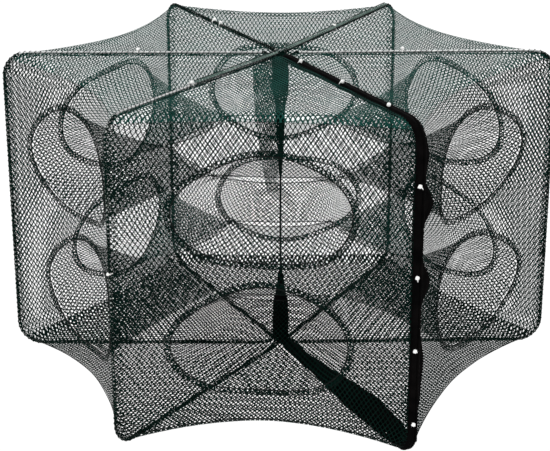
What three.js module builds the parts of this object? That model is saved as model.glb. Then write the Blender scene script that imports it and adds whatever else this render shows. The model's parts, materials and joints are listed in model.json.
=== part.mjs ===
import * as THREE from "three";

// Folding net crab trap: seven wire page frames open round a vertical spine like the pages of a book.
// Millimetres, +Z up, base at Z = 0. Each sector between two pages is closed by an outer wall net
// with two mouths, a top net, a bottom net and two funnels.

const HEIGHT = 500;
const REACH = 434; // spine axis to the centre of a page's outer wire
const SPINE_REACH = 9; // spine axis to the centre of a page's turned-back wire ends
const RETURN_UP = 72; // how far a page's wire runs up the spine from the bottom
const RETURN_DOWN = 62; // and down it from the top
const WIRE = 4;
const CORNER = 38; // bend radius of a page's outer corners
const INNER_CORNER = 20; // and of its corners at the spine
const NET = 1.5;
const PAGE_ANGLES = [296, 362, 422, 478, 540, 597, 656]; // page 1 to page 7, as opened on a floor
const CLOSURE_OFFSET = 2.4; // pages 1 and 7 lie side by side, this far each side of one radial plane

const MOUTH_WIDE = 254;
const MOUTH_TALL = 166;
const MOUTH_HEIGHTS = { upper: 352, lower: 144 };
const MOUTH_SHIFTS = [
  // How far each sector's mouths are sewn off the middle: towards its second page, and up.
  { upper: [36, 10], lower: [40, 6] },
  { upper: [0, 0], lower: [0, -4] },
  { upper: [-4, -6], lower: [-12, -10] },
  { upper: [0, 0], lower: [-16, -8] },
  { upper: [-28, 4], lower: [0, 4] },
  { upper: [0, 0], lower: [-4, 4] },
];
const THROAT_HEIGHTS = { upper: 347, lower: 156 };
const THROAT_TALL = 20;
const THROAT_REACH = 185; // spine axis to the ties that hold a throat's ends
const THROAT_GAP = 4.4;
const SPINE_CORD = 1.2;
const SPINE_WAIST = 1.6; // spine axis to the cords' centres where they are drawn together
const TIE_LENGTH = 5.2;
const TIE_THICK = 3.2;

const PULL_AT_MOUTH = 56; // how far the funnels pull the middle of a wall towards the spine
const SEAMS = [
  // How far each sector's wall is pulled in at its upper and lower seams, and how far these drop and rise.
  { pullAtTop: 50, pullAtFloor: 32, drop: 8, rise: 9 },
  { pullAtTop: 42, pullAtFloor: 44, drop: 3, rise: 14 },
  { pullAtTop: 26, pullAtFloor: 44, drop: 8, rise: 14 },
  { pullAtTop: 44, pullAtFloor: 44, drop: 6, rise: 14 },
  { pullAtTop: 50, pullAtFloor: 36, drop: 8, rise: 9 },
  { pullAtTop: 50, pullAtFloor: 46, drop: 8, rise: 14 },
];
const SLACK = 1.8; // exponent of a pulled net's curve across a sector
const NET_SAG = 7;
const WIRE_GAP = 3.4; // from a wire's centre to the edge of a net sewn to it
const TAPE_GAP = 15; // the same at the closure, where nets are sewn to the tapes

const TAPE = 1.4;
const TAPE_INSETS = { page_1: 6.2, page_7: 4.3 }; // from the wires' centres inwards to a tape's middle
const TAPE_SPANS = { page_1: [-6, 13], page_7: [-13, 6] };

const ACROSS = 6; // net faces across a sector
const SIDE_STEPS = [0, 0.05, 0.115, 0.4, 0.7]; // rows up half a wall, closer together at its corners
const RING = 2 * (ACROSS + SIDE_STEPS.length);
const ARC_STEPS = 6;

const rad = (degrees) => (degrees * Math.PI) / 180;
const blend = (a, b, t) => a + (b - a) * t;

// A page: its radial direction, the direction square to it, and its offset from the radial plane.
function makePage(angle, offset) {
  const out = new THREE.Vector3(Math.cos(rad(angle)), Math.sin(rad(angle)), 0);
  const side = new THREE.Vector3(-out.y, out.x, 0);
  return { angle, out, side, offset };
}

const pages = PAGE_ANGLES.map((angle, i) =>
  makePage(angle, i === 0 ? CLOSURE_OFFSET : i === PAGE_ANGLES.length - 1 ? -CLOSURE_OFFSET : 0),
);

function onPage(page, reach, z, aside = 0) {
  const at = page.out.clone().multiplyScalar(reach);
  at.addScaledVector(page.side, page.offset + aside);
  at.z = z;
  return at;
}

// The rounded rectangle of a page's wire, inset from its centre line: reach, height and outward normal.
function pageLoop(inset) {
  const floor = WIRE / 2;
  const ceiling = HEIGHT - WIRE / 2;
  const corners = [
    [REACH - CORNER, floor + CORNER, CORNER, -90],
    [REACH - CORNER, ceiling - CORNER, CORNER, 0],
    [SPINE_REACH + INNER_CORNER, ceiling - INNER_CORNER, INNER_CORNER, 90],
    [SPINE_REACH + INNER_CORNER, floor + INNER_CORNER, INNER_CORNER, 180],
  ];
  return corners.flatMap(([reach, z, radius, start]) =>
    Array.from({ length: ARC_STEPS + 1 }, (_, k) => {
      const turn = rad(start + (90 * k) / ARC_STEPS);
      const normal = [Math.cos(turn), Math.sin(turn)];
      return { reach: reach + (radius - inset) * normal[0], z: z + (radius - inset) * normal[1], normal };
    }),
  );
}

// A closed mesh from shared corners and outward-facing polygons.
function solid(name, corners, faces) {
  const triangles = faces.flatMap((f) => f.slice(2).flatMap((_, k) => [f[0], f[k + 1], f[k + 2]]));
  const geometry = new THREE.BufferGeometry();
  const places = corners.flatMap((p) => p.toArray());
  geometry.setAttribute("position", new THREE.Float32BufferAttribute(places, 3));
  geometry.setIndex(triangles);
  const mesh = new THREE.Mesh(geometry);
  mesh.name = name;
  return mesh;
}

// Sweeps rings of corners into a tube with a cap at each end.
function tube(name, rings) {
  const n = rings[0].length;
  const at = (ring, k) => ring * n + (k % n);
  const faces = [];
  for (let i = 0; i + 1 < rings.length; i++) {
    for (let k = 0; k < n; k++) {
      faces.push([at(i, k), at(i, k + 1), at(i + 1, k + 1), at(i + 1, k)]);
    }
  }
  faces.push(Array.from({ length: n }, (_, k) => at(0, n - 1 - k)));
  faces.push(Array.from({ length: n }, (_, k) => at(rings.length - 1, k)));
  return solid(name, rings.flat(), faces);
}

// Gives a surface of shared points and faces the thickness of a net, closing its edges.
function sheet(name, points, faces) {
  const normals = points.map(() => new THREE.Vector3());
  for (const f of faces) {
    const across = points[f[2]].clone().sub(points[f[0]]);
    const other = points[f[3]].clone().sub(points[f[1]]);
    const normal = across.cross(other);
    f.forEach((k) => normals[k].add(normal));
  }
  normals.forEach((n) => n.normalize().multiplyScalar(NET / 2));
  const n = points.length;
  const front = points.map((p, k) => p.clone().add(normals[k]));
  const back = points.map((p, k) => p.clone().sub(normals[k]));
  const edges = new Map();
  for (const f of faces) {
    f.forEach((a, k) => edges.set(`${a},${f[(k + 1) % f.length]}`, [a, f[(k + 1) % f.length]]));
  }
  const rims = [...edges.values()].filter(([a, b]) => !edges.has(`${b},${a}`));
  return solid(name, [...front, ...back], [
    ...faces,
    ...faces.map(([first, ...rest]) => [first, ...rest.reverse()].map((k) => k + n)), // same diagonals
    ...rims.map(([a, b]) => [b, a, a + n, b + n]),
  ]);
}

// The wire of one page: open at the spine, with both ends turned back along it, and flat underneath.
function pageFrame(name, page) {
  const radius = WIRE / 2 / Math.cos(Math.PI / 8);
  const loop = pageLoop(0);
  const lowEnd = { reach: SPINE_REACH, z: WIRE / 2 + RETURN_UP, normal: [-1, 0] };
  const highEnd = { reach: SPINE_REACH, z: HEIGHT - WIRE / 2 - RETURN_DOWN, normal: [-1, 0] };
  const innerLow = 3 * (ARC_STEPS + 1);
  const path = [lowEnd, ...loop.slice(innerLow), ...loop.slice(0, innerLow), highEnd];
  const rings = path.map(({ reach, z, normal }) =>
    Array.from({ length: 8 }, (_, k) => {
      const turn = rad(22.5 + 45 * k);
      const outward = radius * Math.cos(turn);
      return onPage(page, reach + outward * normal[0], z + outward * normal[1], radius * Math.sin(turn));
    }),
  );
  return tube(name, rings);
}

// One closure tape: a band round the top, outer side and bottom of its page, facing outwards.
function closureTape(name, page) {
  const [from, to] = TAPE_SPANS[name.replace("closure_tape_", "page_")];
  const inset = TAPE_INSETS[name.replace("closure_tape_", "page_")];
  const loop = pageLoop(inset).slice(0, 2 * (ARC_STEPS + 1));
  const inner = SPINE_REACH + INNER_CORNER;
  const path = [{ ...loop[0], reach: inner }, ...loop, { ...loop[loop.length - 1], reach: inner }];
  const rings = path.map(({ reach, z, normal }) =>
    [
      [TAPE / 2, from],
      [TAPE / 2, to],
      [-TAPE / 2, to],
      [-TAPE / 2, from],
    ].map(([out, aside]) => onPage(page, reach + out * normal[0], z + out * normal[1], aside - page.offset)),
  );
  return tube(name, rings);
}

// Reach of the wire's outer side at a height, so that nets follow the page's rounded corners.
function sideReach(z) {
  const into = Math.max(WIRE / 2 + CORNER - z, z - (HEIGHT - WIRE / 2 - CORNER), 0);
  return REACH - CORNER + Math.sqrt(CORNER * CORNER - into * into);
}

const CORNER_CUT = CORNER * (1 - Math.SQRT1_2); // where a wall meets the top and bottom nets on a corner
const SEAM_LOW = WIRE / 2 + CORNER_CUT;
const SEAM_HIGH = HEIGHT - SEAM_LOW;

// The two wire points a net is sewn between at one reach and height, moved in by the gap at each.
function netSpan(sector, reach, z) {
  const a = onPage(sector.first, reach, z);
  const b = onPage(sector.last, reach, z);
  const along = b.clone().sub(a).normalize();
  const byTape = Math.min(1, (reach - SPINE_REACH) / INNER_CORNER); // 1 where there is tape on pages 1 and 7
  const gap = (page) => (page.offset ? blend(WIRE_GAP, TAPE_GAP, Math.max(0, 2 * byTape - 1)) : WIRE_GAP);
  a.addScaledVector(along, gap(sector.first));
  b.addScaledVector(along, -gap(sector.last));
  return [a, b];
}

// A point of a net between its two wires: side runs from -1 to 1, pulled in and lifted in the middle.
function netPoint(sector, reach, z, side, pull, lift) {
  const [a, b] = netSpan(sector, reach, z);
  const middle = 1 - Math.abs(side) ** SLACK;
  const at = a.lerp(b, (side + 1) / 2).addScaledVector(sector.out, -pull * middle);
  at.z += lift * middle;
  return at;
}

function wallPoint(sector, side, z) {
  const up = (z - SEAM_LOW) / (SEAM_HIGH - SEAM_LOW);
  const { pullAtTop, pullAtFloor, drop, rise } = sector.seams;
  const pull = blend(blend(pullAtFloor, pullAtTop, up), PULL_AT_MOUTH, Math.sin(Math.PI * up));
  const lift = rise * (1 - up) ** 3 - drop * up ** 3;
  return netPoint(sector, sideReach(z), z, side, pull, lift);
}

function halfWidth(sector) {
  const [a, b] = netSpan(sector, REACH, HEIGHT / 2);
  return a.distanceTo(b) / 2;
}

// The turns of the points round an oval, as many as half a wall's outline has.
const ovalTurns = Array.from({ length: RING }, (_, k) => rad(-90 + (360 * (k - ACROSS / 2)) / RING));

// A mouth's oval rim on the wall, as side and height.
function mouthRim(sector, level) {
  const half = halfWidth(sector);
  const [aside, up] = sector.mouthShifts[level];
  return ovalTurns.map((turn) => {
    const across = aside + (MOUTH_WIDE / 2) * Math.cos(turn);
    return [across / half, MOUTH_HEIGHTS[level] + up + (MOUTH_TALL / 2) * Math.sin(turn)];
  });
}

// The outline of the upper or lower half of a wall, anticlockwise seen from outside.
function halfOutline(level) {
  const middle = (MOUTH_HEIGHTS.upper + MOUTH_HEIGHTS.lower) / 2;
  const [low, high] = level === "upper" ? [middle, SEAM_HIGH] : [SEAM_LOW, middle];
  const [seam, other] = level === "upper" ? [high, low] : [low, high];
  const fromSeam = SIDE_STEPS.map((t) => blend(seam, other, t));
  const inner = fromSeam.slice(1);
  const rising = level === "upper" ? inner.reverse() : inner;
  const points = [];
  for (let k = 0; k < ACROSS; k++) points.push([blend(-1, 1, k / ACROSS), low]);
  points.push([1, low], ...rising.map((z) => [1, z]));
  for (let k = 0; k < ACROSS; k++) points.push([blend(1, -1, k / ACROSS), high]);
  points.push([-1, high], ...[...rising].reverse().map((z) => [-1, z]));
  return points;
}

// The outer wall net of a sector, with its two oval mouths cut out.
function wallNet(name, sector) {
  const points = [];
  const index = new Map();
  const add = (side, z) => {
    const key = `${side.toFixed(4)},${z.toFixed(2)}`;
    if (!index.has(key)) {
      index.set(key, points.length);
      points.push(wallPoint(sector, side, z));
    }
    return index.get(key);
  };
  const faces = [];
  for (const level of ["lower", "upper"]) {
    const outline = halfOutline(level);
    const rim = mouthRim(sector, level);
    const rings = [0, 0.45, 1].map((t) =>
      outline.map(([side, z], k) => add(blend(rim[k][0], side, t), blend(rim[k][1], z, t))),
    );
    for (let i = 0; i + 1 < rings.length; i++) {
      for (let k = 0; k < RING; k++) {
        const next = (k + 1) % RING;
        faces.push([rings[i][k], rings[i + 1][k], rings[i + 1][next], rings[i][next]]);
      }
    }
  }
  return sheet(name, points, faces);
}

// Top or bottom net of a sector: it follows the pages' wires from the wall's seam to the spine.
function coverNet(name, sector, isTop) {
  const { pullAtTop, pullAtFloor, drop: seamDrop, rise } = sector.seams;
  const z = (drop) => (isTop ? HEIGHT - WIRE / 2 - drop : WIRE / 2 + drop);
  const turn = rad(40); // just past the middle of the outer corner, clear of the wall's edge
  const outer = REACH - CORNER;
  const inner = SPINE_REACH + INNER_CORNER;
  const stations = [
    [outer + CORNER * Math.sin(turn), z(CORNER * (1 - Math.cos(turn)))],
    [outer + (CORNER * Math.sin(turn)) / 2, z(CORNER * 0.06)],
    [blend(outer, inner, 0.12), z(0)],
    [blend(outer, inner, 0.42), z(0)],
    [blend(outer, inner, 0.72), z(0)],
    [inner, z(0)],
    [inner - INNER_CORNER * Math.SQRT1_2, z(INNER_CORNER * (1 - Math.SQRT1_2))],
  ];
  const points = stations.flatMap(([reach, height], row) => {
    const inwards = (stations[0][0] - reach) / (stations[0][0] - inner);
    const pull = (isTop ? pullAtTop : pullAtFloor) * Math.max(0, 1 - inwards) ** 1.3;
    const seam = isTop ? -seamDrop : rise;
    const sag = isTop ? -NET_SAG : NET_SAG / 2;
    const slack = row < stations.length - 1 ? sag * Math.sin(Math.PI * inwards) : 0;
    const lift = seam * Math.max(0, 1 - inwards * 1.2) + slack;
    return Array.from({ length: ACROSS + 1 }, (_, k) =>
      netPoint(sector, reach, height, blend(-1, 1, k / ACROSS), pull, lift),
    );
  });
  const faces = [];
  for (let row = 0; row + 1 < stations.length; row++) {
    for (let k = 0; k < ACROSS; k++) {
      const a = row * (ACROSS + 1) + k;
      const face = [a, a + 1, a + ACROSS + 2, a + ACROSS + 1];
      faces.push(isTop ? face : face.reverse());
    }
  }
  return sheet(name, points, faces);
}

// An entrance funnel: from its mouth on the wall to a flat slit whose ends are tied at the pages.
function funnel(name, sector, level) {
  const ends = [sector.first, sector.last].map((page) => onPage(page, THROAT_REACH, THROAT_HEIGHTS[level]));
  const along = ends[1].clone().sub(ends[0]).normalize();
  const middle = ends[0].clone().lerp(ends[1], 0.5);
  const wide = ends[0].distanceTo(ends[1]) / 2 - THROAT_GAP;
  const rim = mouthRim(sector, level);
  const mouth = rim.map(([side, z]) => wallPoint(sector, side, z).addScaledVector(sector.out, -1.8));
  const throat = ovalTurns.map((turn) => {
    const at = middle.clone().addScaledVector(along, Math.cos(turn) * wide);
    at.z += (Math.sin(turn) * THROAT_TALL) / 2;
    return at;
  });
  const rings = [0, 0.5, 1].map((t) =>
    mouth.map((at, k) => {
      const point = at.clone().lerp(throat[k], t);
      point.z = blend(at.z, throat[k].z, t + 0.06 * Math.sin(Math.PI * t));
      return point;
    }),
  );
  const faces = [];
  for (let i = 0; i + 1 < rings.length; i++) {
    for (let k = 0; k < RING; k++) {
      const next = (k + 1) % RING;
      faces.push([i * RING + next, i * RING + k, (i + 1) * RING + k, (i + 1) * RING + next].reverse());
    }
  }
  return sheet(name, rings.flat(), faces);
}

// The cord that laces two pages' wire ends together: between them above and below, drawn in halfway up.
function spineCord(name, sector) {
  const path = [
    [WIRE / 2 + INNER_CORNER, 0],
    [WIRE / 2 + RETURN_UP, 0],
    [RETURN_UP * 1.5, 1],
    [HEIGHT - RETURN_DOWN * 1.7, 1],
    [HEIGHT - WIRE / 2 - RETURN_DOWN, 0],
    [HEIGHT - WIRE / 2 - INNER_CORNER, 0],
  ];
  const rings = path.map(([z, drawnIn]) => {
    const between = onPage(sector.first, SPINE_REACH, z).lerp(onPage(sector.last, SPINE_REACH, z), 0.5);
    const waist = sector.out.clone().multiplyScalar(SPINE_WAIST).setZ(z);
    const middle = between.lerp(waist, drawnIn);
    return Array.from({ length: 8 }, (_, k) => {
      const turn = rad(45 * k);
      const offset = new THREE.Vector3(Math.cos(turn), Math.sin(turn), 0).multiplyScalar(SPINE_CORD / 2);
      return middle.clone().add(offset);
    });
  });
  return tube(name, rings);
}

// A knotted thread through a page's plane that ties the throats each side of it together.
function throatTie(name, page, level) {
  const rings = [-0.5, -0.2, 0.2, 0.5].map((t) => {
    const radius = (Math.abs(t) > 0.3 ? 0.3 : 0.5) * TIE_THICK;
    return Array.from({ length: 6 }, (_, k) => {
      const turn = rad(60 * k);
      const z = THROAT_HEIGHTS[level] + radius * Math.sin(turn);
      return onPage(page, THROAT_REACH + radius * Math.cos(turn), z, t * TIE_LENGTH);
    });
  });
  return tube(name, rings.map((ring) => ring.reverse()));
}

function build() {
  const group = new THREE.Group();
  pages.forEach((page, i) => group.add(pageFrame(`page_frame_${i + 1}`, page)));
  group.add(closureTape("closure_tape_1", pages[0]));
  group.add(closureTape("closure_tape_7", pages[pages.length - 1]));
  for (let i = 0; i + 1 < pages.length; i++) {
    const [first, last] = [pages[i], pages[i + 1]];
    const middle = rad((first.angle + last.angle) / 2);
    const out = new THREE.Vector3(Math.cos(middle), Math.sin(middle), 0);
    const sector = { first, last, out, seams: SEAMS[i], mouthShifts: MOUTH_SHIFTS[i] };
    const number = i + 1;
    group.add(wallNet(`wall_net_${number}`, sector));
    group.add(coverNet(`top_net_${number}`, sector, true));
    group.add(coverNet(`bottom_net_${number}`, sector, false));
    group.add(funnel(`upper_funnel_${number}`, sector, "upper"));
    group.add(funnel(`lower_funnel_${number}`, sector, "lower"));
    group.add(spineCord(`spine_cord_${number}`, sector));
  }
  pages.slice(1, -1).forEach((page, i) => {
    group.add(throatTie(`upper_tie_${i + 2}`, page, "upper"));
    group.add(throatTie(`lower_tie_${i + 2}`, page, "lower"));
  });
  return group;
}

// The row's origin is the centre of the base of the whole trap's box.
function centred(group) {
  const box = new THREE.Box3().setFromObject(group);
  const middle = box.getCenter(new THREE.Vector3());
  group.children.forEach((mesh) => mesh.geometry.translate(-middle.x, -middle.y, -box.min.z));
  return group;
}

export default centred(build());
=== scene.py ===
"""Looks of the folding net trap: netting, hems, cords, tapes and lashings on the wire pages."""
import json
import math
import random

import bpy
import numpy as np
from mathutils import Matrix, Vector, noise


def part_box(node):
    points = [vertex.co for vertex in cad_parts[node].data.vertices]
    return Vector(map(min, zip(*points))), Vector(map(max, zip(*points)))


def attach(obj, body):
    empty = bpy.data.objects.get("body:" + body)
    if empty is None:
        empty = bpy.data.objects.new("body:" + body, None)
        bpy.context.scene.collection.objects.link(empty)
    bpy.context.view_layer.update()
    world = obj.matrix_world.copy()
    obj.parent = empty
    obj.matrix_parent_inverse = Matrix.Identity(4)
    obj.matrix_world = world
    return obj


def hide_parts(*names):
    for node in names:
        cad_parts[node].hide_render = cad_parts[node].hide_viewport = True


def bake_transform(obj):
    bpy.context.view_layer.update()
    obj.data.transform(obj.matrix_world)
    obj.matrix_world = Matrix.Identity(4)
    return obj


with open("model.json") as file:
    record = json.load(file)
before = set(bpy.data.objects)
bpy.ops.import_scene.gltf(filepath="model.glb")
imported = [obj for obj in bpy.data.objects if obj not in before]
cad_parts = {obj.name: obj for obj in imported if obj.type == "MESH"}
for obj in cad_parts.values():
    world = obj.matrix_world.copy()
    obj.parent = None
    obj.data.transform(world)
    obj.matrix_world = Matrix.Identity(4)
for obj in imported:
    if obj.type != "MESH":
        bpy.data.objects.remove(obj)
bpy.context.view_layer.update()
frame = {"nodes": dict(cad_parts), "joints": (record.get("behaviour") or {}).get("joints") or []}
scene = bpy.context.scene

# The pages, in metres, as the frame has them.
HEIGHT = 0.5
REACH = 0.434  # spine axis to the centre of a page's outer wire
SPINE_REACH = 0.009
WIRE = 0.004
CORNER = 0.038
INNER_CORNER = 0.020
PAGE_ANGLES = (296, 362, 422, 478, 540, 597, 656)
CLOSURE_OFFSET = 0.0024  # pages 1 and 7 lie side by side, this far each side of one plane

# The mouths and throats.
MOUTH_WIDE = 0.254
MOUTH_TALL = 0.166
MOUTH_HEIGHTS = {"upper": 0.352, "lower": 0.144}
THROAT_HEIGHTS = {"upper": 0.347, "lower": 0.156}
THROAT_TALL = 0.009
THROAT_DROOP = 0.005
THROAT_REACH = 0.185
THROAT_GAP = 0.0044
HEM = 0.008
# Each sector's mouths off the middle of its wall: towards its second page, and up.
MOUTH_SHIFTS = (
    {"upper": (0.036, 0.010), "lower": (0.040, 0.006)},
    {"upper": (0.0, 0.0), "lower": (0.0, -0.004)},
    {"upper": (-0.004, -0.006), "lower": (-0.012, -0.010)},
    {"upper": (0.0, 0.0), "lower": (-0.016, -0.008)},
    {"upper": (-0.028, 0.004), "lower": (0.0, 0.004)},
    {"upper": (0.0, 0.0), "lower": (-0.004, 0.004)},
)

# How the nets hang.
PULL_AT_MOUTH = 0.056
# How far each sector's wall is pulled in at its top and at its floor, how far the top seam drops
# in its middle, and how far the floor seam rises there.
SEAMS = (
    (0.050, 0.032, 0.008, 0.009),
    (0.042, 0.044, 0.003, 0.014),
    (0.026, 0.044, 0.008, 0.014),
    (0.044, 0.044, 0.006, 0.014),
    (0.050, 0.036, 0.008, 0.009),
    (0.050, 0.046, 0.008, 0.014),
)
SLACK = 1.8  # the power of a net's pull-in from its middle to its wires
NET_SAG = 0.007
WIRE_GAP = 0.0026
TAPE_GAP = 0.0066  # at a closure tape the net's edge is under the tape's wing
MARGIN = 0.010  # doubled net sewn along the wires
COVER_LENGTH = 0.41  # about how long a top or bottom is along a wire
RIPPLE = 0.0012

# Netting and cords.
MESH_WIDE = 0.0069  # a net's diamonds
MESH_TALL = 0.0106
MESH = 1 / math.hypot(1 / MESH_WIDE, 1 / MESH_TALL)  # distance between parallel twines
TWINE = 0.00185  # each net's material scales it
FUNNEL_TWINES = (1.05, 0.82)  # a funnel's twines against a wall's, at its mouth and at its throat
FUNNEL_CUT = 0.92  # width of a funnel's flat net against the way round its mouth
# Each sector's twines against TWINE, set for how dense its nets look.
THICKNESS = (1.20, 1.06, 0.94, 1.0, 1.12, 0.90)
SEAM_CORD = 0.0006  # radii
HEM_CORD = 0.0009

ACROSS = 32  # points along the width of a wall, and up half its height
UP = 16
RING = 2 * (ACROSS + UP)

CORNER_CUT = CORNER * (1 - math.sqrt(0.5))  # the seams meet the wire halfway round its corner
SEAM_LOW = WIRE / 2 + CORNER_CUT
SEAM_HIGH = HEIGHT - SEAM_LOW
MIDDLE = HEIGHT / 2

low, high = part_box("page_frame_5")  # this page lies along -X, so its box gives the spine's axis
AXIS = np.array([low.x + REACH + WIRE / 2, (low.y + high.y) / 2, 0.0])


# ---------------------------------------------------------------- camera, light and floor

CAMERA_DISTANCE = 2.47
CAMERA_ELEVATION = 19.5
CAMERA_AZIMUTH = 0.1
LENS = 99.95
SHIFT = (-0.010, -0.0425)
FLOOR_HALF = 30
FLOOR_LEVEL = -0.0012


def add_camera():
    azimuth = math.radians(CAMERA_AZIMUTH)
    elevation = math.radians(CAMERA_ELEVATION)
    target = Vector((AXIS[0], AXIS[1], MIDDLE))
    away = Vector(
        (
            math.sin(azimuth) * math.cos(elevation),
            -math.cos(azimuth) * math.cos(elevation),
            math.sin(elevation),
        )
    )
    data = bpy.data.cameras.new("camera")
    data.lens = LENS
    data.sensor_width = 36
    data.sensor_fit = "HORIZONTAL"
    data.shift_x, data.shift_y = SHIFT
    camera = bpy.data.objects.new("camera", data)
    camera.location = target + away * CAMERA_DISTANCE
    camera.rotation_euler = away.to_track_quat("Z", "Y").to_euler()
    scene.collection.objects.link(camera)
    scene.camera = camera


def add_light(name, place, size, energy):
    data = bpy.data.lights.new(name, "AREA")
    data.shape = "DISK"
    data.size = size
    data.energy = energy
    light = bpy.data.objects.new(name, data)
    light.location = place
    away = Vector(place) - Vector((0, 0, MIDDLE))
    light.rotation_euler = away.to_track_quat("Z", "Y").to_euler()
    scene.collection.objects.link(light)


def add_world():
    world = bpy.data.worlds.new("studio")
    world.use_nodes = True
    background = world.node_tree.nodes["Background"]
    background.inputs["Color"].default_value = (1, 1, 1, 1)
    background.inputs["Strength"].default_value = 1.05
    scene.world = world


def floor_material():
    """A floor that glows evenly, so that every net is seen against the same brightness."""
    material = bpy.data.materials.new("pale_floor")
    material.use_nodes = True
    shader = material.node_tree.nodes["Principled BSDF"]
    shader.inputs["Base Color"].default_value = (0.02, 0.02, 0.02, 1)
    shader.inputs["Roughness"].default_value = 1.0
    shader.inputs["Specular IOR Level"].default_value = 0.0
    shader.inputs["Emission Color"].default_value = (1, 1, 1, 1)
    shader.inputs["Emission Strength"].default_value = 1.03
    return material


def add_stage():
    add_world()
    half = FLOOR_HALF
    corners = [(-half, -half, 0), (half, -half, 0), (half, half, 0), (-half, half, 0)]
    floor = bpy.data.meshes.new("studio_floor")
    floor.from_pydata(corners, [], [(0, 1, 2, 3)])
    floor.materials.append(floor_material())
    stage = bpy.data.objects.new("studio_floor", floor)
    stage.location.z = FLOOR_LEVEL
    scene.collection.objects.link(stage)
    add_light("key", (-1.2, -1.6, 2.4), 1.6, 30)
    add_light("back", (0.8, 2.2, 1.8), 1.6, 30)
    scene.view_settings.view_transform = "Standard"
    scene.cycles.transparent_max_bounces = 64


# ---------------------------------------------------------------- materials


class Nodes:
    """Short calls for building a material's node tree."""

    def __init__(self, name):
        self.material = bpy.data.materials.new(name)
        self.material.use_nodes = True
        self.tree = self.material.node_tree
        self.shader = self.tree.nodes["Principled BSDF"]
        self.output = self.tree.nodes["Material Output"]

    def add(self, kind, *inputs, **settings):
        node = self.tree.nodes.new(kind)
        for key, value in settings.items():
            setattr(node, key, value)
        for socket, value in zip(node.inputs, inputs):
            self.put(socket, value)
        return node

    def put(self, socket, value):
        if isinstance(value, bpy.types.NodeSocket):
            self.tree.links.new(value, socket)
        elif isinstance(value, bpy.types.Node):
            self.tree.links.new(value.outputs[0], socket)
        else:
            socket.default_value = value

    def math(self, operation, *inputs):
        return self.add("ShaderNodeMath", *inputs, operation=operation).outputs[0]

    def noise(self, where, scale, detail=2.0):
        node = self.add("ShaderNodeTexNoise")
        self.put(node.inputs["Vector"], where)
        node.inputs["Scale"].default_value = scale
        node.inputs["Detail"].default_value = detail
        return node.outputs["Fac"]

    def ramp(self, factor, *stops):
        node = self.add("ShaderNodeValToRGB", factor)
        elements = node.color_ramp.elements
        while len(elements) < len(stops):
            elements.new(0.5)
        for element, (place, colour) in zip(elements, stops):
            element.position = place
            element.color = (*colour, 1)
        return node.outputs["Color"]

    def bump(self, height, distance, strength):
        node = self.add("ShaderNodeBump")
        node.inputs["Strength"].default_value = strength
        node.inputs["Distance"].default_value = distance
        self.put(node.inputs["Height"], height)
        self.put(self.shader.inputs["Normal"], node.outputs["Normal"])

    def finish(self, roughness, specular=0.5, metallic=0.0):
        self.shader.inputs["Roughness"].default_value = roughness
        self.shader.inputs["Specular IOR Level"].default_value = specular
        self.shader.inputs["Metallic"].default_value = metallic
        return self.material


def twines(nodes, u, v, half_width):
    """Where slanting twines cover a net: 1 on a twine, and its height for the bump."""
    across = nodes.math("MULTIPLY", u, 1 / MESH_WIDE)
    spans = []
    for sign in (1, -1):
        cells = nodes.math("MULTIPLY_ADD", v, sign / MESH_TALL, across)
        spans.append(nodes.math("PINGPONG", cells, 0.5))
    nearest = nodes.math("MINIMUM", *spans)
    other = nodes.math("MAXIMUM", *spans)
    at_knot = nodes.math("LESS_THAN", other, 0.2)
    knot = nodes.math("MULTIPLY", at_knot, 0.035)
    reach = nodes.math("ADD", half_width, knot)
    return nodes.math("LESS_THAN", nearest, reach), nodes.math("DIVIDE", nearest, reach)


def net_material(name, dark, light, width, layers=1):
    """Knotless netting with holes between its twines; gather thickens them where it is bunched."""
    nodes = Nodes(name)
    place = nodes.add("ShaderNodeUVMap", uv_map="net")
    split = nodes.add("ShaderNodeSeparateXYZ", place)
    wobble = nodes.noise(place, 55.0)
    wide = nodes.noise(place, 9.0)
    shift = nodes.math("MULTIPLY_ADD", wobble, 0.0022, -0.0011)
    u = nodes.math("ADD", split.outputs["X"], shift)
    v = nodes.math("MULTIPLY_ADD", shift, -0.6, split.outputs["Y"])
    gather = nodes.add("ShaderNodeAttribute", attribute_name="gather").outputs["Fac"]
    vary = nodes.math("MULTIPLY_ADD", wide, 0.5, 0.75)
    half = nodes.math("MULTIPLY", gather, width / MESH / 2)
    half = nodes.math("MULTIPLY", half, vary)
    cover, height = twines(nodes, u, v, half)
    for layer in range(1, layers):
        turned = nodes.math("MULTIPLY_ADD", v, 0.12 * layer, u)
        lifted = nodes.math("MULTIPLY_ADD", u, -0.09 * layer, v)
        second, _ = twines(nodes, turned, lifted, half)
        cover = nodes.math("MAXIMUM", cover, second)
    tone = nodes.noise(nodes.add("ShaderNodeTexCoord").outputs["Object"], 24.0, 4.0)
    nodes.put(nodes.shader.inputs["Base Color"], nodes.ramp(tone, (0.3, dark), (0.7, light)))
    nodes.bump(nodes.math("MULTIPLY_ADD", height, -1.0, 1.0), 0.0004, 0.6)
    material = nodes.finish(0.85, specular=0.03)
    clear = nodes.add("ShaderNodeBsdfTransparent")
    mix = nodes.add("ShaderNodeMixShader", cover, clear, nodes.shader)
    nodes.put(nodes.output.inputs["Surface"], mix)
    return material


def cord_material(name, dark, light):
    """Braided cord: small bumps for its strands, and an uneven tone."""
    nodes = Nodes(name)
    place = nodes.add("ShaderNodeTexCoord").outputs["Object"]
    strands = nodes.add("ShaderNodeTexVoronoi")
    nodes.put(strands.inputs["Vector"], place)
    strands.inputs["Scale"].default_value = 900.0
    tone = nodes.noise(place, 60.0, 4.0)
    nodes.put(nodes.shader.inputs["Base Color"], nodes.ramp(tone, (0.3, dark), (0.75, light)))
    nodes.bump(strands.outputs["Distance"], 0.0003, 0.8)
    return nodes.finish(0.6, specular=0.08)


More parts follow.
